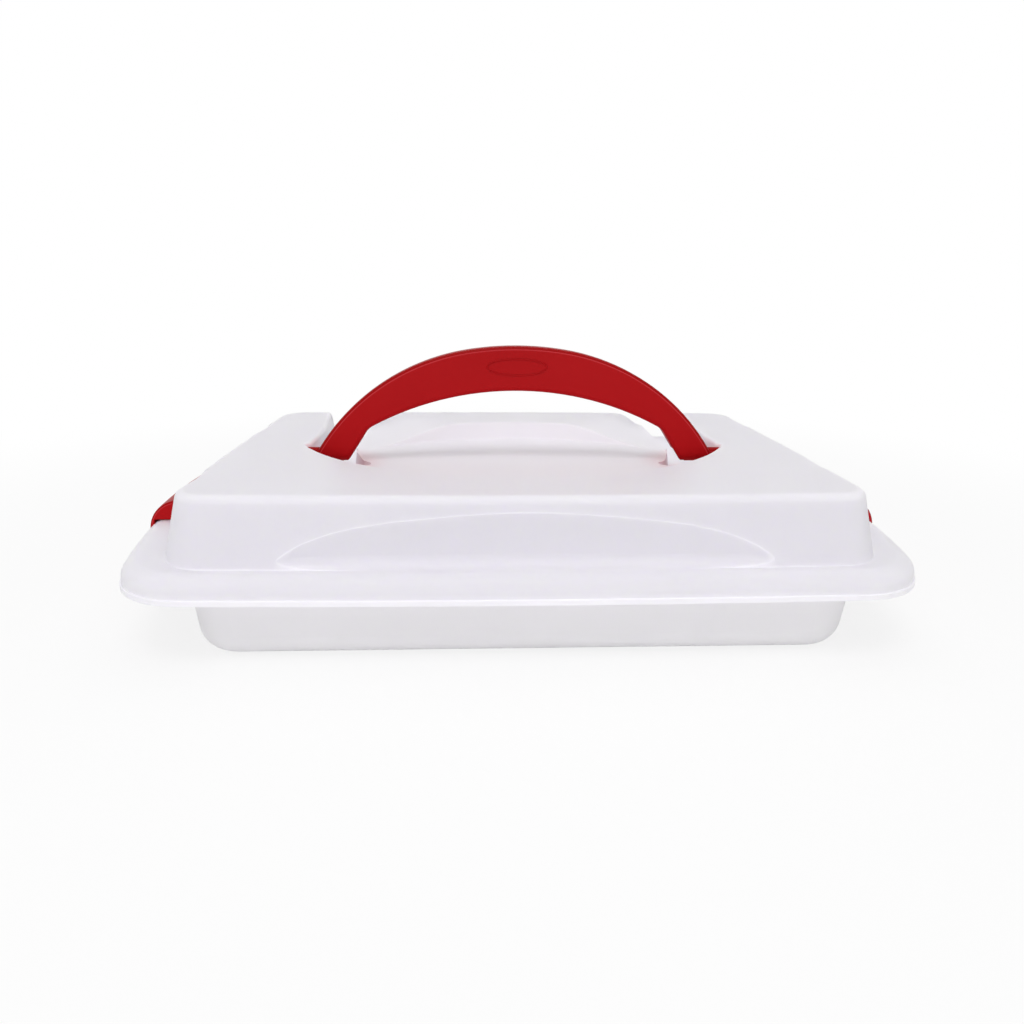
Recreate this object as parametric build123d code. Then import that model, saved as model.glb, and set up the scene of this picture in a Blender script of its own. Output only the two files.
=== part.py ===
from build123d import *
import math
import os

# Rectangular cake carrier: a deep tray, a lid that lifts off it, two side clips that hold the lid down
# and an arched carry handle that folds back into a lens-shaped recess in the lid's top.
# Millimetres, Z up. The origin is the centre of the footprint, on the surface that the tray stands on.
# X runs along the length, the front is at -Y, and the handle folds towards the back at +Y.

# Walls and clearances
tray_wall = 2.0
lid_wall = 2.0
clip_wall = 2.4
seat_gap = 0.3            # under the lid's flange, over the tray's rim
skirt_gap = 1.0           # between the tray's rim and the inside of the lid's skirt
clip_gap = 0.6            # round a closed clip
cut_margin = 4.0          # how far a cutting shape runs past the face that it cuts

# Tray
tray_end_inset = 46.0     # from the flange's edge to the outside of the tray's wall, at its top
tray_side_inset = 9.5
tray_corner_radius = 27.0
tray_draft = 7.0          # degrees
tray_bottom_radius = 15.0
base_ring_width = 16.0    # the tray stands on a ring round a slightly raised panel
base_panel_rise = 1.0
rim_drop = 9.0            # height of the rim's turned-down edge

# Lid flange
flange_half_length = 222.0
flange_half_width = 150.0
flange_side_bow = 20.8
flange_front_bow = 3.5
flange_corner_radius = 42.0
ledge_height = 49.5       # top of the flange
skirt_height = 14.0
flange_edge_radius = 9.0
bead_height = 3.0
bead_depth = 0.8

# Lid body
ledge_end_width = 34.0    # from the flange's edge to the foot of the body's wall, at mid-side
ledge_side_width = 11.0
body_side_bow = 2.0
body_front_bow = 4.0
body_corner_radius = 26.0
body_height = 35.5        # above the ledge
body_draft = 13.7
body_edge_radius = 5.0
scoop_end_inset = 57.0    # from each end of the body, at the foot of its wall
scoop_depth = 6.8         # at its middle, at the foot of the wall
scoop_shape = ((0.0, 1.0), (0.41, 0.885), (0.61, 0.775), (0.81, 0.54), (0.9, 0.345), (1.0, 0.0))
scoop_cove_radius = 6.0

# Recess in the lid's top
lens_front = 90.5         # from the handle's line to its rim, in the middle
lens_back = 81.0
lens_tip_reach = 6.0      # how far each of its tips runs past a foot's pocket
lens_draft = 30.0
lens_rim_radius = 3.0
lens_foot_radius = 2.0
recess_depth = 11.5
pocket_depth = 21.0
pocket_draft = 8.0
pocket_front_gap = 7.2    # in front of a foot
pocket_end_gap = 1.0      # outside a foot
pocket_flare = 22.0       # how much wider it is at its front than at the channel
pocket_corner_radius = 5.0
pocket_bend_radius = 20.0
channel_front_width = 21.0
channel_flare = 10.0      # how far the channel leans outwards by the back edge
channel_bend_radius = 60.0
channel_edge_radius = 3.0
ramp_front = 30.0         # where the ramp beside each channel starts, from the middle
ramp_front_insets = (142.0, 27.0)   # its upper and lower lines there, from the pocket's outer wall
ramp_back_insets = (33.0, 16.0)     # the same by the back edge
ramp_fall = 0.42          # share of the depth that it has dropped halfway down

# Carry handle
handle_rise = 63.0        # over the lid's top
handle_thickness = 11.5
handle_crown_radius = 196.0
handle_band = 28.0        # width of the band at the crown
handle_inner_radius = 197.0
handle_shoulder_radius = 140.0
handle_inner_shoulder_radius = 12.0
foot_end_inset = 58.3     # from the foot of the body's end wall to the outside of a foot
leg_inset = 0.8           # from the outside of the foot to the leg's outer edge, at the pivot's height
leg_width = 23.6          # at the pivot's height
leg_lean = 57.0           # degrees from level
foot_radius = 6.0
heel_width = 17.4         # the foot's back is narrower than its front
heel_skin = 2.6
heel_top = 2.6            # under the lid's top
handle_edge_radius = 2.6
handle_skin = 2.6         # walls left round the cored-out back
handle_core_depth = 8.5
handle_rib_count = 9
handle_rib = 1.8
handle_rib_reach = 26.0   # degrees from the middle to the last rib
plaque_height = 50.2      # height of its middle over the lid's top
plaque_half_length = 19.3
plaque_half_height = 5.6
plaque_rim = 1.0
plaque_rise = 0.5
pivot_depth = 5.4         # under the lid's top
pin_radius = 3.2
pin_length = 7.0
pin_clearance = 0.05
pin_end_gap = 0.5
boss_wall = 2.6

# Side clips
clip_half_length = 52.0
clip_outer_radius = 18.5
clip_arch_height = 43.0   # height of the arch's centre
clip_end_radius = 1.6
clip_top_overlap = 2.5    # how far the arch runs past the pivot, over the barrel
clip_pivot_inset = 20.5   # from the flange's edge
clip_pivot_rise = 6.2     # over the ledge
clip_barrel_radius = 5.1
clip_barrel_wall = 1.5
clip_end_wall = 2.4
clip_pin_radius = 1.6
clip_pin_clearance = 0.06
clip_hook_reach = 5.0
clip_hook_thickness = 2.0
clip_hook_gap = 0.35
clip_hook_drop = 6.2      # from the rim's lower edge to the hook's
ear_thickness = 4.2
ear_radius = 3.1
ear_stem = 3.8            # width of the post under the ear's eye
ear_gap = 0.4

# Places that follow from the sizes above
lid_top = ledge_height + body_height
skirt_bottom = ledge_height - skirt_height
rim_top = ledge_height - lid_wall - seat_gap
rim_bottom = rim_top - rim_drop
pivot_height = lid_top - pivot_depth
clip_pivot_x = flange_half_length - clip_pivot_inset
clip_pivot_z = ledge_height + clip_pivot_rise
clip_arch_x = flange_half_length - clip_outer_radius
rim_half_length = flange_half_length - lid_wall - skirt_gap
tray_half_length = flange_half_length - tray_end_inset
tray_half_width = flange_half_width - tray_side_inset
body_half_length = flange_half_length - ledge_end_width
body_half_width = flange_half_width - ledge_side_width
scoop_half_length = body_half_length - scoop_end_inset
foot_half_length = body_half_length - foot_end_inset
leg_reach = foot_half_length - leg_inset
leg_inner_reach = leg_reach - leg_width
pocket_outer = foot_half_length + pocket_end_gap
lens_half_length = pocket_outer + lens_tip_reach


def plan(half_length, half_width, side_bow, front_bow, corner_radius, inset=0.0):
    """A rectangle with bowed sides and rounded corners; inset moves all of it inwards."""
    x_mid = half_length - inset
    y_mid = half_width - inset
    x = x_mid - side_bow
    y = y_mid - front_bow
    sides = [
        ThreePointArc((x, -y), (x_mid, 0), (x, y)),
        ThreePointArc((x, y), (0, y_mid), (-x, y)),
        ThreePointArc((-x, y), (-x_mid, 0), (-x, -y)),
        ThreePointArc((-x, -y), (0, -y_mid), (x, -y)),
    ]
    face = make_face(Curve() + sides)
    return fillet(face.vertices(), corner_radius - inset)


def flange_plan(inset=0.0):
    return plan(flange_half_length, flange_half_width, flange_side_bow, flange_front_bow,
                flange_corner_radius, inset)


def edges_at(solid, height):
    """The edges that lie level at one height."""
    return solid.edges().filter_by_position(Axis.Z, height - 0.01, height + 0.01)


# Tray

def tray_plan(length, width, corner_radius, inset):
    return RectangleRounded(2 * (length - inset), 2 * (width - inset), corner_radius - inset)


def tray_body(inset, floor, top):
    """The tray's tapered, round-bottomed form, from floor to top; inset moves its walls inwards."""
    height = top - floor
    shrink = (rim_top - floor) * math.tan(math.radians(tray_draft))
    foot = tray_plan(tray_half_length, tray_half_width, tray_corner_radius, inset + shrink)
    form = extrude(Pos(0, 0, floor) * foot, amount=height, taper=-tray_draft)
    return fillet(edges_at(form, floor), tray_bottom_radius - inset)


def raised_panel(inset, floor, height):
    """The panel in the tray's floor that stands clear of the table."""
    length = tray_half_length - tray_bottom_radius - base_ring_width
    width = tray_half_width - tray_bottom_radius - base_ring_width
    outline = tray_plan(length, width, tray_corner_radius - base_ring_width / 2, inset)
    return extrude(Pos(0, 0, floor) * outline, amount=height)


def make_tray():
    edge_inset = flange_half_length - rim_half_length
    edge_radius = flange_edge_radius - lid_wall - skirt_gap
    cover = extrude(flange_plan(edge_inset), amount=rim_top)
    cover = fillet(edges_at(cover, rim_top), edge_radius)
    outer = (tray_body(0, 0, rim_top) & cover) - raised_panel(0, 0, base_panel_rise)
    inner = tray_body(tray_wall, tray_wall, rim_top + cut_margin)
    inner -= raised_panel(-tray_wall, tray_wall - base_panel_rise, 2 * base_panel_rise)
    hollow = extrude(Pos(0, 0, rim_bottom - cut_margin) * flange_plan(edge_inset + tray_wall),
                     amount=rim_drop - tray_wall + cut_margin)
    hollow = fillet(edges_at(hollow, rim_top - tray_wall), edge_radius - tray_wall)
    rim = split(cover, Plane.XY.offset(rim_bottom)) - hollow - inner
    return (outer - inner) + rim


# Lid

def body_plan(inset):
    return plan(body_half_length, body_half_width, body_side_bow, body_front_bow, body_corner_radius, inset)


def lid_body(inset, top):
    """The lid's tapered body; inset moves its walls inwards, and top is its upper face."""
    foot = Pos(0, 0, ledge_height) * body_plan(inset)
    form = extrude(foot, amount=top - ledge_height, taper=body_draft)
    return fillet(edges_at(form, top), body_edge_radius - inset)


def wall_scoop(side, grow):
    """The shallow coved scoop low in a long wall; side is -1 at the front and 1 at the back."""
    half = scoop_half_length
    bow = body_front_bow / (body_half_length - body_side_bow) ** 2
    curve = [(half * along, body_half_width - bow * (half * along) ** 2 - scoop_depth * deep - grow)
             for along, deep in scoop_shape]
    curve = [(-x, side * y) for x, y in curve[:0:-1]] + [(x, side * y) for x, y in curve]
    far = side * (body_half_width + 3 * cut_margin)
    rest = Polyline(curve[-1], (half, far), (-half, far), curve[0])
    floor = ledge_height - grow
    tool = extrude(Pos(0, 0, floor) * make_face(Curve() + [Spline(*curve), rest]), amount=body_height)
    cove = [e for e in edges_at(tool, floor) if side * e.center().Y < body_half_width - grow]
    return fillet(cove, scoop_cove_radius)


def lens_bell(side, half_width, grow):
    """One round side of the dish; side is -1 for the front arc and 1 for the back one."""
    radius = (lens_half_length ** 2 + half_width ** 2) / (2 * half_width)
    draft = math.radians(lens_draft)
    floor = lid_top - recess_depth - grow
    rim = lid_top - grow
    shift = grow / math.cos(draft) - grow * math.tan(draft)
    floor_radius = radius - recess_depth * math.tan(draft) + shift
    rim_radius = floor_radius + recess_depth * math.tan(draft)
    far = rim_radius + 3 * cut_margin
    over = rim + cut_margin
    points = [(0, floor), (floor_radius, floor), (rim_radius, rim), (far, rim), (far, over), (0, over)]
    profile = make_face(Polyline(*points, close=True))
    foot_corner = profile.vertices().sort_by_distance((floor_radius, floor))[0]
    profile = fillet(foot_corner, lens_foot_radius + grow)
    if not grow:
        rim_corner = profile.vertices().sort_by_distance((rim_radius, rim))[0]
        profile = fillet(rim_corner, lens_rim_radius)
    return Pos(0, side * (half_width - radius), 0) * revolve(Plane.XZ * profile, Axis.Z)


def lens(grow):
    """The drafted dish between two arcs, rounded at its outer rim and at the foot of its wall."""
    return lens_bell(-1, lens_front, grow) & lens_bell(1, lens_back, grow)


def pocket(side, grow):
    """The deep pocket for one foot, which runs on as a channel through the back of the lid."""
    front = -handle_thickness / 2 - pocket_front_gap
    back = body_half_width + cut_margin
    inner = pocket_outer - channel_front_width
    outline = [
        (inner - pocket_flare, front),
        (inner - pocket_flare * 0.4, 0),
        (inner, ramp_front),
        (inner + channel_flare / 3, back),
        (pocket_outer + channel_flare, back),
        (pocket_outer, 2 * ramp_front),
        (pocket_outer, front),
    ]
    face = make_face(Polyline(*[(side * x, y) for x, y in outline], close=True))
    bend = face.vertices().sort_by_distance((side * pocket_outer, 2 * ramp_front))[0]
    face = fillet(bend, channel_bend_radius)
    inner_bends = [v for v in face.vertices() if front + 1 < v.Y < ramp_front + 1]
    face = fillet(inner_bends, pocket_bend_radius)
    corners = [v for v in face.vertices() if v.Y < front + 1 or v.Y > body_half_width]
    face = fillet(corners, pocket_corner_radius)
    if grow:
        face = offset(face, grow)
    height = pocket_depth + grow + cut_margin
    return extrude(Pos(0, 0, lid_top - pocket_depth - grow) * face, amount=height, taper=-pocket_draft)


def ramp(side, grow):
    """The sloping side of a channel, which eases down from the lid's top to the recess's floor."""
    outer = pocket_outer - 4
    rim = lid_top - grow
    floor = rim - recess_depth
    sections = []
    for y, insets in ((ramp_front, ramp_front_insets), (body_half_width + cut_margin, ramp_back_insets)):
        first, last = [pocket_outer - inset - grow / 2 for inset in insets]
        slope = Spline((side * first, rim), (side * (first + last) / 2, rim - recess_depth * ramp_fall),
                       (side * last, floor), tangents=((side, 0), (side, 0)))
        rest = Polyline((side * last, floor), (side * outer, floor), (side * outer, rim + cut_margin),
                        (side * first, rim + cut_margin), (side * first, rim))
        face = make_face(Curve() + [slope, rest])
        sections.append(Pos(0, y, 0) * (Plane.XZ * face))
    return loft(sections, ruled=True)


def recess(grow):
    """All that is hollow in the lid's top; grow is how far each face moves into the lid."""
    tools = [lens(grow)]
    for side in (-1, 1):
        tools.append(pocket(side, grow))
        tools.append(ramp(side, grow))
    return tools


def clip_notch(side):
    """The gap in the flange's edge that a closed clip fills."""
    depth = clip_wall + clip_gap * 2
    keep = flange_plan(depth)
    band = Rectangle(flange_half_length, 2 * (clip_half_length + clip_gap))
    notch = Pos(side * flange_half_length, 0) * band - keep
    return extrude(Pos(0, 0, skirt_bottom - cut_margin) * notch, amount=skirt_height + 2 * cut_margin)


def clip_ear(side, y):
    """One ear of a clip's hinge, standing on the ledge."""
    x = side * clip_pivot_x
    foot = ledge_height - lid_wall / 2
    post = Pos(x, y, (foot + clip_pivot_z) / 2) * Box(ear_stem, ear_thickness, clip_pivot_z - foot)
    eye = Pos(x, y, clip_pivot_z) * Rot(90, 0, 0) * Cylinder(ear_radius, ear_thickness)
    bore = Pos(x, y, clip_pivot_z) * Rot(90, 0, 0) * Cylinder(clip_pin_radius + clip_pin_clearance,
                                                              2 * ear_thickness)
    return post + eye - bore


def ear_places():
    """The ears' middles along Y, just inside the clip's end walls."""
    y = clip_half_length - clip_end_wall - ear_gap - ear_thickness / 2
    return (-y, y)


def recessed_body(inset):
    """The lid's body with its scoops and recess; inset moves every face inwards."""
    top = lid_top - inset
    body = lid_body(inset, top)
    if inset:
        body += extrude(Pos(0, 0, ledge_height - 2 * inset) * body_plan(inset), amount=2 * inset)
    for side in (-1, 1):
        body -= wall_scoop(side, inset)
    for tool in recess(inset):
        body -= tool
    return body


def lid_outside():
    """The lid as one solid form, before it is hollowed."""
    flange = extrude(Pos(0, 0, skirt_bottom) * flange_plan(), amount=skirt_height)
    flange = fillet(edges_at(flange, ledge_height), flange_edge_radius)
    bead = extrude(Pos(0, 0, skirt_bottom) * flange_plan(-bead_depth), amount=bead_height)
    bead = chamfer(edges_at(bead, skirt_bottom + bead_height), bead_depth / 2)
    body = recessed_body(0)
    farthest = pocket_outer + channel_edge_radius + channel_flare
    for side in (-1, 1):
        rims = [e for e in edges_at(body, lid_top) if pocket_outer - 10 < side * e.center().X < farthest
                and ramp_front / 2 < e.center().Y < body_half_width - 2 * body_edge_radius]
        body = fillet(rims, channel_edge_radius)
    return flange + bead + body


def lid_inside():
    """The hollow under the lid, which follows its outside at one wall's distance."""
    under_flange = extrude(Pos(0, 0, skirt_bottom - cut_margin) * flange_plan(lid_wall),
                           amount=skirt_height - lid_wall + cut_margin)
    under_flange = fillet(edges_at(under_flange, ledge_height - lid_wall), flange_edge_radius - lid_wall)
    return under_flange + recessed_body(lid_wall)


def make_lid():
    inside = lid_inside()
    lid = lid_outside() - inside
    for side in (-1, 1):
        boss = Pos(side * (pocket_outer + pin_length / 2), 0, pivot_height) * Rot(0, 90, 0)
        lid += boss * Cylinder(pin_radius + boss_wall, pin_length + boss_wall) & inside
        socket = Pos(side * (foot_half_length + (pin_length + pin_end_gap) / 2), 0, pivot_height)
        lid -= socket * Rot(0, 90, 0) * Cylinder(pin_radius + pin_clearance, pin_length + pin_end_gap)
        lid -= clip_notch(side)
        for y in ear_places():
            lid += clip_ear(side, y)
    return lid


# Carry handle

def leg_wedge(reach, lean, low, high):
    """What lies between two leaning lines that pass the pivot's height at reach on each side."""
    slope = math.tan(math.radians(lean))
    corners = []
    for side, heights in ((1, (high, low)), (-1, (low, high))):
        for z in heights:
            corners.append((side * (reach - (z + pivot_depth) / slope), z))
    return make_face(Polyline(*corners, close=True))


def rounded_band(radius, crown, reach, lean, shoulder):
    """A crown arc over two leaning legs, with a rounded shoulder between them."""
    low = -pivot_depth - 2 * handle_thickness
    band = Pos(0, crown - radius) * Circle(radius) & leg_wedge(reach, lean, low, crown + cut_margin)
    corners = band.vertices().sort_by(Axis.Y)[2:]
    return fillet(corners, shoulder)


def handle_face(inset=0.0):
    """The handle's front view over the lid's top; inset moves its outline inwards."""
    outer_reach = leg_reach - inset / math.sin(math.radians(leg_lean))
    inner_reach = leg_inner_reach + inset / math.sin(math.radians(leg_lean))
    outer = rounded_band(handle_crown_radius - inset, handle_rise - inset, outer_reach, leg_lean,
                         handle_shoulder_radius - inset)
    inner = rounded_band(handle_inner_radius + inset, handle_rise - handle_band + inset, inner_reach,
                         leg_lean, handle_inner_shoulder_radius + inset)
    return outer - inner


def handle_core():
    """The hollows in the handle's back, between its ribs."""
    core = handle_face(handle_skin)
    core -= Pos(0, handle_skin - heel_top - handle_rise) * Rectangle(4 * foot_half_length, 2 * handle_rise)
    sweep = 2 * handle_rib_reach / (handle_rib_count - 1)
    rib = Pos(0, handle_crown_radius) * Rectangle(handle_rib, 4 * handle_band)
    for i in range(handle_rib_count):
        turn = i * sweep - handle_rib_reach
        core -= Pos(0, handle_rise - handle_crown_radius) * Rot(0, 0, turn) * rib
    return Pos(0, handle_thickness / 2, 0) * extrude(Plane.XZ * core, amount=handle_core_depth)


def heel_cut():
    """What is cut away behind the inner sides of the two feet."""
    height = 2 * handle_thickness
    cut = Box(2 * (foot_half_length - heel_width), handle_thickness, height)
    return Pos(0, heel_skin, -heel_top - height / 2) * cut


def plaque_border():
    """The raised oval border round the bare plaque on the handle's front."""
    border = Ellipse(plaque_half_length, plaque_half_height) - Ellipse(
        plaque_half_length - plaque_rim, plaque_half_height - plaque_rim)
    ring = extrude(Plane.XZ * (Pos(0, plaque_height) * border), amount=plaque_rise + handle_skin / 2)
    ring = Pos(0, handle_skin / 2 - handle_thickness / 2, 0) * ring
    front = -handle_thickness / 2 - plaque_rise
    return chamfer([e for e in ring.edges() if abs(e.center().Y - front) < 0.01], plaque_rise * 0.6)


def make_handle():
    half = handle_thickness / 2
    low = -pivot_depth - half
    above = Pos(0, low + handle_rise) * Rectangle(2 * foot_half_length, 2 * handle_rise)
    front = handle_face() & above
    toes = [v for v in front.vertices() if abs(v.Y - low) < 0.01 and abs(v.X) < leg_reach - leg_width / 2]
    front = fillet(toes, foot_radius)
    solid = extrude(Plane.XZ * front, amount=half, both=True)
    solid = fillet([e for e in solid.edges() if abs(abs(e.center().Y) - half) < 0.01], handle_edge_radius)
    upper = Pos(0, 0, handle_rise) * Box(4 * foot_half_length, 2 * handle_thickness, 2 * handle_rise)
    knuckle = Rot(0, 90, 0) * Cylinder(half, 4 * foot_half_length)
    solid &= Pos(0, 0, -pivot_depth) * (upper + knuckle)
    solid -= handle_core() + heel_cut()
    solid += plaque_border()
    overlap = 2.0
    for side in (-1, 1):
        pin = Pos(side * (foot_half_length + (pin_length - overlap) / 2), 0, -pivot_depth) * Rot(0, 90, 0)
        solid += pin * Cylinder(pin_radius, pin_length + overlap)
    return Pos(0, 0, lid_top) * solid


# Side clips

def clip_swing():
    """The circle round the pivot that the tray's rim stays inside while the clip turns."""
    across = rim_half_length - clip_pivot_x
    down = clip_pivot_z - rim_bottom
    return Pos(clip_pivot_x, clip_pivot_z) * Circle(math.hypot(across, down) + clip_hook_gap)


def clip_section(radius):
    """The solid form under the arch, in X and Z."""
    first_x = clip_pivot_x - clip_top_overlap
    span = 2 * (flange_half_length - first_x)
    above = Pos(first_x + span / 2, clip_arch_height + span / 2) * Rectangle(span, span)
    return Pos(clip_arch_x, clip_arch_height) * Circle(radius) & above


def swept_along_flange(section, half_length):
    """A section carried along the bowed short side of the flange, with square ends."""
    chord = flange_half_width - flange_front_bow
    bow_radius = (chord ** 2 + flange_side_bow ** 2) / (2 * flange_side_bow)
    centre = Axis((flange_half_length - bow_radius, 0, 0), (0, 0, 1))
    half_turn = math.degrees((half_length + 2 * cut_margin) / bow_radius)
    sweep = revolve((Plane.XZ * section).rotate(centre, -half_turn), centre, 2 * half_turn)
    size = 2 * flange_half_length
    return sweep & Pos(flange_half_length, 0, 0) * Box(size, 2 * half_length, size)


def along_y(section, first, last):
    """A section in X and Z carried straight along Y."""
    return Pos(0, last, 0) * extrude(Plane.XZ * section, amount=last - first)


def clip_outer():
    """The clip's outside: arch, wall and hook as one solid with rounded ends."""
    low = rim_bottom - clip_hook_drop
    hook_x = flange_half_length - clip_wall - clip_hook_reach
    wall = Pos((hook_x + flange_half_length) / 2, (low + clip_arch_height) / 2) * Rectangle(
        flange_half_length - hook_x, clip_arch_height - low)
    wall = fillet(wall.vertices().sort_by(Axis.Y)[:2], clip_hook_thickness * 0.9)
    form = swept_along_flange(clip_section(clip_outer_radius) + wall, clip_half_length)
    rims = [e for e in form.edges() if abs(abs(e.center().Y) - clip_half_length) < 0.01]
    rims.sort(key=lambda edge: edge.center().X + edge.center().Z)
    return fillet(rims[-4:], clip_end_radius)


def make_clip():
    """The right clip, hinged on the lid's ears and hooked under the tray's rim."""
    inner_end = clip_half_length - clip_end_wall
    low = rim_bottom - clip_hook_drop
    inner_wall = flange_half_length - clip_wall
    reach = 2 * clip_outer_radius
    inboard = Pos(inner_wall - reach, low) * Rectangle(2 * reach, 2 * (clip_arch_height - low))
    under_hook = swept_along_flange(clip_swing() & inboard, clip_half_length + cut_margin)
    over_flange = extrude(Pos(0, 0, clip_arch_height - 1) * flange_plan(-clip_gap),
                          amount=ledge_height + clip_gap - clip_arch_height + 1)
    over_flange = fillet(edges_at(over_flange, ledge_height + clip_gap), flange_edge_radius * 0.6)
    over_flange &= extrude(Pos(0, 0, rim_bottom) * flange_plan(clip_wall + clip_gap), amount=ledge_height)
    cavity = swept_along_flange(clip_section(clip_outer_radius - clip_wall), inner_end)
    below_pivot = Pos(clip_pivot_x - reach / 2, clip_pivot_z - reach / 2) * Rectangle(reach, reach)
    clip = clip_outer() - under_hook - over_flange - cavity
    clip -= along_y(below_pivot, -clip_half_length, clip_half_length)

    pivot = Pos(clip_pivot_x, clip_pivot_z)
    back_corner = Pos(clip_pivot_x - reach / 2, clip_pivot_z + reach / 2) * Rectangle(reach, reach)
    barrel = pivot * Circle(clip_barrel_radius) - pivot * Circle(clip_barrel_radius - clip_barrel_wall)
    clip += along_y(barrel & back_corner, -clip_half_length, clip_half_length)
    pin_end = inner_end - ear_gap - ear_thickness
    for first, last in ((-clip_half_length, -inner_end), (inner_end, clip_half_length)):
        clip += along_y(pivot * Circle(clip_barrel_radius), first, last)
    for first, last in ((-inner_end - 1, -pin_end), (pin_end, inner_end + 1)):
        clip += along_y(pivot * Circle(clip_pin_radius), first, last)
    slot = Pos(clip_pivot_x - reach / 4, clip_pivot_z) * Rectangle(reach / 2, ear_stem + 2 * ear_gap)
    slot -= pivot * Circle(clip_pin_radius)
    for y in ear_places():
        half = ear_thickness / 2 + ear_gap
        clip -= along_y(slot, y - half, y + half)
    return clip


if __name__ == "__main__":
    os.makedirs("parts", exist_ok=True)
    right_clip = make_clip()
    left_clip = mirror(right_clip, about=Plane.YZ)
    export_step(make_tray(), "parts/tray.step")
    export_step(make_lid(), "parts/lid.step")
    export_step(make_handle(), "parts/carry_handle.step")
    export_step(right_clip, "parts/clip_right.step")
    export_step(left_clip, "parts/clip_left.step")
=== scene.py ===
import bpy
import math
from mathutils import Matrix, Vector

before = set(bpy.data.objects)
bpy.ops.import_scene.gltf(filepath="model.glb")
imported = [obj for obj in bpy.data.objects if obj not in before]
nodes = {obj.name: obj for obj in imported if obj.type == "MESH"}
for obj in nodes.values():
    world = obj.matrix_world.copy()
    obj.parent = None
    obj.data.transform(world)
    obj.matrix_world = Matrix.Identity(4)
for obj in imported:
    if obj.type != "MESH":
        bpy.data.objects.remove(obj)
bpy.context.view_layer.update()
scene = bpy.context.scene

# The looks of a cake carrier: plastics for its five CAD pieces, and the photo's floor, light and camera.
# The CAD has all of its shape. Metres, Z up, the front at -Y.


# ---- node helpers

def new_material(name):
    material = bpy.data.materials.new(name)
    material.use_nodes = True
    tree = material.node_tree
    tree.nodes.clear()
    return material, tree, tree.nodes.new("ShaderNodeOutputMaterial")


def node(tree, kind, **values):
    """A new node. Each value goes to the input of that name, or else to the node's own setting."""
    made = tree.nodes.new(kind)
    for key, value in values.items():
        if key in made.inputs:
            made.inputs[key].default_value = value
        else:
            setattr(made, key, value)
    return made


def feed(tree, target, *sources):
    """Gives the target's inputs, in turn, a link from each source or its plain value."""
    for place, source in enumerate(sources):
        if isinstance(source, bpy.types.NodeSocket):
            tree.links.new(source, target.inputs[place])
        else:
            target.inputs[place].default_value = source


def maths(tree, operation, *sources):
    made = node(tree, "ShaderNodeMath", operation=operation)
    feed(tree, made, *sources)
    return made.outputs["Value"]


def vector_maths(tree, operation, *sources):
    made = node(tree, "ShaderNodeVectorMath", operation=operation)
    feed(tree, made, *sources)
    return made.outputs


def coordinates(tree, kind):
    return tree.nodes.new("ShaderNodeTexCoord").outputs[kind]


def axes(tree, vector):
    split = tree.nodes.new("ShaderNodeSeparateXYZ")
    tree.links.new(vector, split.inputs[0])
    return split.outputs


def noise(tree, vector, scale, detail=2.0, roughness=0.5):
    made = node(tree, "ShaderNodeTexNoise", Scale=scale, Detail=detail, Roughness=roughness)
    tree.links.new(vector, made.inputs["Vector"])
    return made.outputs["Fac"]


def ramp(tree, fac, stops):
    made = tree.nodes.new("ShaderNodeValToRGB")
    tree.links.new(fac, made.inputs["Fac"])
    elements = made.color_ramp.elements
    while len(elements) < len(stops):
        elements.new(0.5)
    for element, (place, colour) in zip(elements, stops):
        element.position = place
        element.color = (*colour, 1.0)
    return made.outputs["Color"]


def fade(tree, value, start, end, low=0.0, high=1.0, shape="SMOOTHSTEP"):
    """A change from low, where the value is at start, to high, where it is at end."""
    limits = {"From Min": start, "From Max": end, "To Min": low, "To Max": high}
    made = node(tree, "ShaderNodeMapRange", interpolation_type=shape, **limits)
    tree.links.new(value, made.inputs["Value"])
    return made.outputs["Result"]


def multiplied(tree, share, colour):
    """A mix node that multiplies the colour by its input B, in that share."""
    mix = node(tree, "ShaderNodeMix", data_type="RGBA", blend_type="MULTIPLY")
    tree.links.new(share, mix.inputs["Factor"])
    tree.links.new(colour, mix.inputs["A"])
    return mix


def mixed_shaders(tree, share, first, second):
    both = tree.nodes.new("ShaderNodeMixShader")
    feed(tree, both, share, first.outputs[0], second.outputs[0])
    return both.outputs[0]


def background_rays(tree):
    """1 for the rays that should see the white background: by eye, through the object or in a reflection."""
    path = tree.nodes.new("ShaderNodeLightPath")
    direct = maths(tree, "MAXIMUM", path.outputs["Is Camera Ray"], path.outputs["Is Transmission Ray"])
    return maths(tree, "MAXIMUM", direct, path.outputs["Is Glossy Ray"])


# ---- plastics

# Patterns: scales are features in a metre, depths are metres
cloud_scale, cloud_detail, cloud_roughness = 9.0, 3.0, 0.55
gloss_scale = 34.0
grain_detail, grain_roughness, grain_depth = 4.0, 0.6, 0.0002
wave_scale, wave_detail, wave_strength, wave_depth = 22.0, 1.0, 0.25, 0.0006

# Creases, which get a painted highlight: how far off an edge is felt, and how well the normals match at a
# crease and off it
crease_reach, crease_samples = 0.0024, 6
crease_match = (0.992, 0.9995)
hollow_edge = 0.93        # share of a hollow's half size at which its mask is full


def painted_edge_light(tree, colour, highlight_line, shaded_band):
    """Rounded upper edges of a flat piece: a painted highlight line where the rounding starts, painted shade
    on the band beyond.
    """
    normal = axes(tree, coordinates(tree, "Normal"))
    facing = maths(tree, "ABSOLUTE", normal["Y"])
    plain = (1.0, 1.0, 1.0)
    stops = [(0.80, shaded_band), (0.93, shaded_band), (0.955, highlight_line), (0.985, highlight_line), (0.997, plain), (1.0, plain)]
    mix = multiplied(tree, fade(tree, normal["Z"], -0.02, 0.06), colour)
    tree.links.new(ramp(tree, facing, stops), mix.inputs["B"])
    return mix.outputs["Result"]


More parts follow.
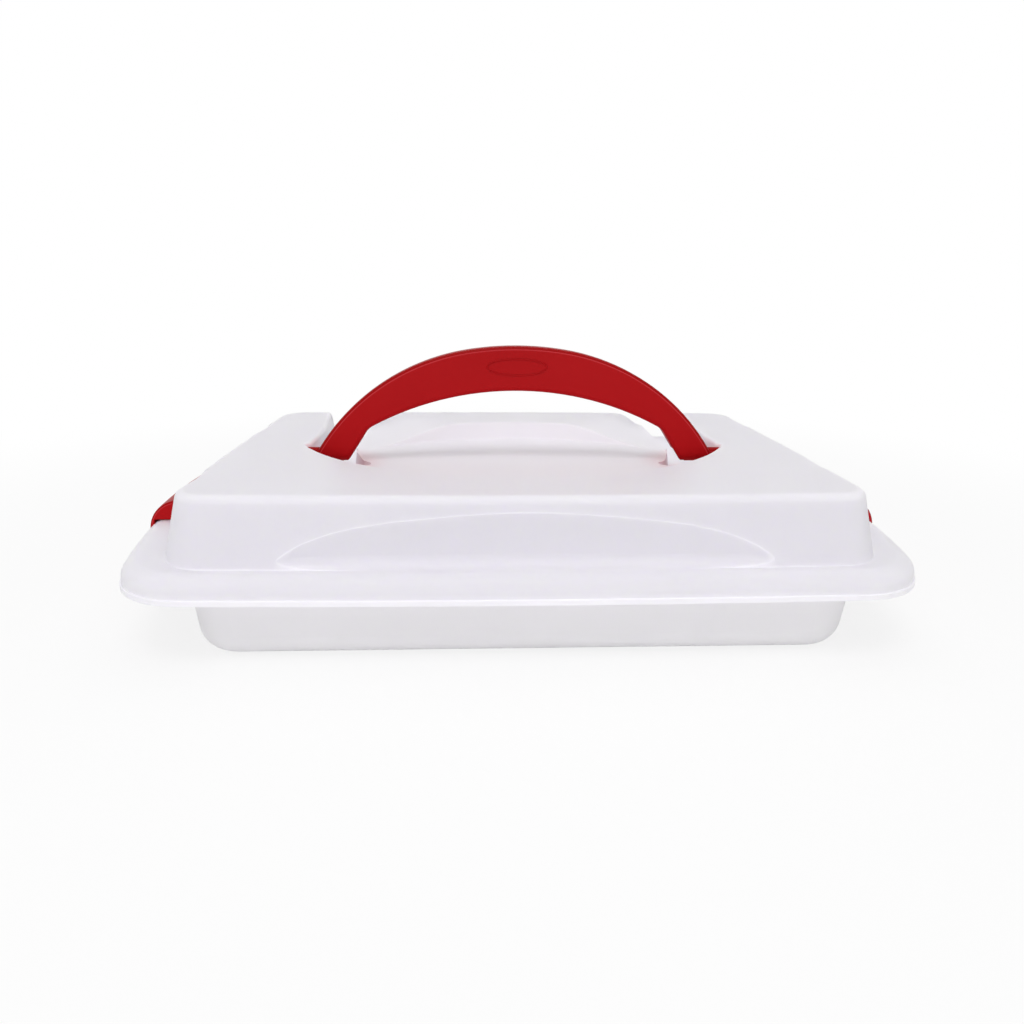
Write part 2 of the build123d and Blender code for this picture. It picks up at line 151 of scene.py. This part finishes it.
def painted_red_bounce(tree, colour, place, centre, reach, depth, tint):
    """Painted red bounce light and shade that a coloured piece throws on the hollow round it, on both sides
    of the middle.
    """
    mirrored = vector_maths(tree, "ABSOLUTE", place)["Vector"]
    apart = vector_maths(tree, "DISTANCE", mirrored, centre)["Value"]
    below = fade(tree, axes(tree, place)["Z"], *depth)
    mix = multiplied(tree, maths(tree, "MULTIPLY", fade(tree, apart, *reach), below), colour)
    mix.inputs["B"].default_value = (*tint, 1.0)
    return mix.outputs["Result"]


def inside(tree, place, half_size, depth):
    """1 in a hollow of that half size round the Z axis, from a little under its rim downwards."""
    at = axes(tree, place)
    mask = fade(tree, at["Z"], *depth)
    for axis, half in zip("XY", half_size):
        off_middle = maths(tree, "ABSOLUTE", at[axis])
        mask = maths(tree, "MULTIPLY", mask, fade(tree, off_middle, half, hollow_edge * half))
    return mask


def cloudiness_and_painted_light(tree, shader, place, inner, crease, hollow=None):
    """How much light goes into the plastic: less at sharp creases and in a hollow, so they look paler: a
    painted highlight along the creases and painted light over the hollow's shade.
    """
    rounded = node(tree, "ShaderNodeBevel", samples=crease_samples, Radius=crease_reach)
    true_normal = tree.nodes.new("ShaderNodeNewGeometry").outputs["Normal"]
    match = vector_maths(tree, "DOT_PRODUCT", rounded.outputs["Normal"], true_normal)["Value"]
    weight = fade(tree, match, *crease_match, crease, inner)
    if hollow:
        share, half_size, depth = hollow
        less = maths(tree, "MULTIPLY", inside(tree, place, half_size, depth), share)
        weight = maths(tree, "MULTIPLY", weight, maths(tree, "SUBTRACT", 1.0, less))
    tree.links.new(weight, shader.inputs["Subsurface Weight"])


def moulded_plastic(name, dark, light, roughness, grain_scale, grain_strength,
                    edge_light=None, cloudy_and_painted_light=None, red_bounce=None, **shader_values):
    """Moulded plastic: faint flow clouds in its colour, a spark-eroded grain, slow waves and uneven gloss,
    with optional painted edge light, painted red bounce and painted light through its cloudiness.
    """
    material, tree, out = new_material(name)
    shader = node(tree, "ShaderNodeBsdfPrincipled", **shader_values)
    place = coordinates(tree, "Object")
    clouds = noise(tree, place, cloud_scale, cloud_detail, cloud_roughness)
    colour = ramp(tree, clouds, [(0.3, dark), (0.7, light)])
    # Painted highlight and painted shade on the upward-facing rounded edges
    if edge_light:
        colour = painted_edge_light(tree, colour, *edge_light)
    # Painted red bounce light and shade from the feet in the recess
    if red_bounce:
        colour = painted_red_bounce(tree, colour, place, *red_bounce)
    tree.links.new(colour, shader.inputs["Base Color"])
    if cloudy_and_painted_light:
        cloudiness_and_painted_light(tree, shader, place, *cloudy_and_painted_light)
    gloss = fade(tree, noise(tree, place, gloss_scale), 0.25, 0.75, *roughness, shape="LINEAR")
    tree.links.new(gloss, shader.inputs["Roughness"])
    fine = node(tree, "ShaderNodeBump", Strength=grain_strength, Distance=grain_depth)
    tree.links.new(noise(tree, place, grain_scale, grain_detail, grain_roughness), fine.inputs["Height"])
    slow = node(tree, "ShaderNodeBump", Strength=wave_strength, Distance=wave_depth)
    tree.links.new(noise(tree, place, wave_scale, wave_detail), slow.inputs["Height"])
    tree.links.new(fine.outputs["Normal"], slow.inputs["Normal"])
    tree.links.new(slow.outputs["Normal"], shader.inputs["Normal"])
    tree.links.new(shader.outputs["BSDF"], out.inputs["Surface"])
    return material


# The recess in the lid's top, made paler as painted light over its shade: how much less light goes in, its
# half size, and the heights where that starts and is full
recess_painted_light = (0.60, (0.150, 0.115), (0.0847, 0.0815))
# The red feet's painted bounce light and shade in the recess: middle of the right foot, outer and inner
# reach, the heights where it starts and is full, and the tint
red_bounce_by_feet = ((0.118, 0.004, 0.080), (0.040, 0.014), (0.0850, 0.0838), (1.0, 0.79, 0.80))
# The handle's rounded upper edge: its painted highlight line and the painted shade on the band beyond it, as
# shares of the red
handle_edge_light = ((1.25, 7.5, 6.2), (0.80, 0.45, 0.45))

frosted = {"roughness": (0.34, 0.44), "grain_scale": 2600.0, "grain_strength": 0.35,
           "IOR": 1.49, "Specular IOR Level": 0.20, "Subsurface Scale": 1.0}
# The lid: a painted highlight at its creases, painted light over its recess's shade, painted red bounce by
# the feet
frosted_lid = moulded_plastic(
    "frosted_lid", (0.885, 0.865, 0.915), (0.905, 0.887, 0.935), cloudy_and_painted_light=(0.9, 0.15, recess_painted_light),
    red_bounce=red_bounce_by_feet, **{"Subsurface Radius": (0.0065, 0.0070, 0.0056)}, **frosted)
# The tray: a painted highlight at its creases
frosted_tray = moulded_plastic(
    "frosted_tray", (0.895, 0.878, 0.905), (0.915, 0.900, 0.925), cloudy_and_painted_light=(0.75, 0.5),
    **{"Subsurface Radius": (0.0046, 0.0048, 0.0044)}, **frosted)
# The red pieces get a painted highlight line and painted shade along their rounded upper edges
red_plastic = moulded_plastic(
    "red_plastic", (0.370, 0.0036, 0.0056), (0.405, 0.0048, 0.0072), (0.32, 0.42), 3200.0, 0.30,
    edge_light=handle_edge_light, **{"IOR": 1.49, "Specular IOR Level": 0.06})

for name, material in (("tray", frosted_tray), ("lid", frosted_lid), ("carry_handle", red_plastic),
                       ("clip_left", red_plastic), ("clip_right", red_plastic)):
    data = nodes[name].data
    data.materials.clear()
    data.materials.append(material)


# ---- floor and backdrop

floor_half = 6.0
floor_near = 0.30         # from the origin, where the floor starts to run into the white
floor_far = 0.75
floor_glow = 0.80         # share of white over the shadow near the object


def floor_material():
    """A pale floor with the object's shadow on it, which runs into the white background further out."""
    material, tree, out = new_material("floor_pale")
    place = coordinates(tree, "Object")
    tone = ramp(tree, noise(tree, place, 3.0), [(0.3, (0.90, 0.90, 0.90)), (0.7, (0.92, 0.92, 0.92))])
    diffuse = node(tree, "ShaderNodeBsdfDiffuse")
    tree.links.new(tone, diffuse.inputs["Color"])
    white = node(tree, "ShaderNodeEmission", Strength=1.0)
    distance = vector_maths(tree, "LENGTH", place)["Value"]
    spread = fade(tree, distance, floor_near, floor_far, floor_glow, 1.0)
    share = maths(tree, "MULTIPLY", background_rays(tree), spread)
    tree.links.new(mixed_shaders(tree, share, diffuse, white), out.inputs["Surface"])
    return material


floor_corners = [(x * floor_half, y * floor_half, 0.0) for x, y in ((-1, -1), (1, -1), (1, 1), (-1, 1))]
floor_mesh = bpy.data.meshes.new("floor")
floor_mesh.from_pydata(floor_corners, [], [(0, 1, 2, 3)])
floor = bpy.data.objects.new("floor", floor_mesh)
scene.collection.objects.link(floor)
floor_mesh.materials.append(floor_material())


# ---- light

world_light = 0.30        # strength of the white surroundings as a light on the object

world = bpy.data.worlds.new("studio")
scene.world = world
world.use_nodes = True
tree = world.node_tree
tree.nodes.clear()
out = tree.nodes.new("ShaderNodeOutputWorld")
soft = node(tree, "ShaderNodeBackground", Color=(1.0, 1.0, 1.0, 1.0), Strength=world_light)
white = node(tree, "ShaderNodeBackground", Color=(1.0, 1.0, 1.0, 1.0), Strength=1.0)
tree.links.new(mixed_shaders(tree, background_rays(tree), soft, white), out.inputs["Surface"])

# Name, place, size across and down, watts: all of them aim at the object's middle
lamp_aim = Vector((0.0, 0.0, 0.06))
softboxes = (
    ("overhead", (0.0, 0.0, 2.0), (3.6, 2.8), 22.2),
    ("front", (-0.1, -2.0, 0.45), (2.2, 0.7), 14.6),
    ("back", (0.0, 1.5, 1.6), (2.2, 1.2), 4.4),
    ("key", (-0.2, -0.9, 1.8), (0.9, 0.6), 8.4),
    ("left_end", (-2.0, -0.3, 0.7), (1.6, 1.2), 1.5),
    ("right_end", (2.0, -0.3, 0.7), (1.6, 1.2), 1.5),
)
for name, place, size, power in softboxes:
    light = bpy.data.lights.new(name, "AREA")
    light.shape = "RECTANGLE"
    light.size, light.size_y = size
    light.energy = power
    lamp = bpy.data.objects.new(name, light)
    scene.collection.objects.link(lamp)
    lamp.location = place
    lamp.rotation_euler = (lamp_aim - Vector(place)).to_track_quat("-Z", "Y").to_euler()


# ---- camera, fitted to the photo

photo_px = 1024.0
sensor_mm = 36.0
focal_px = 774.14
camera_place = (-0.026914, -0.49840, 0.18706)
yaw, pitch, roll = 0.0499, 0.2897, 0.0104     # radians, pitch downwards
forward = Vector((math.sin(yaw) * math.cos(pitch), math.cos(yaw) * math.cos(pitch), -math.sin(pitch)))
level = Vector((math.cos(yaw), -math.sin(yaw), 0.0))
upright = level.cross(forward)
right = level * math.cos(roll) + upright * math.sin(roll)
up = upright * math.cos(roll) - level * math.sin(roll)

camera_data = bpy.data.cameras.new("camera")
camera_data.sensor_width = sensor_mm
camera_data.lens = focal_px * sensor_mm / photo_px
camera_data.clip_start = 0.01
camera_data.clip_end = 40.0
camera = bpy.data.objects.new("camera", camera_data)
scene.collection.objects.link(camera)
scene.camera = camera
camera.matrix_world = Matrix.Translation(camera_place) @ Matrix((right, up, -forward)).transposed().to_4x4()

scene.view_settings.view_transform = "Standard"
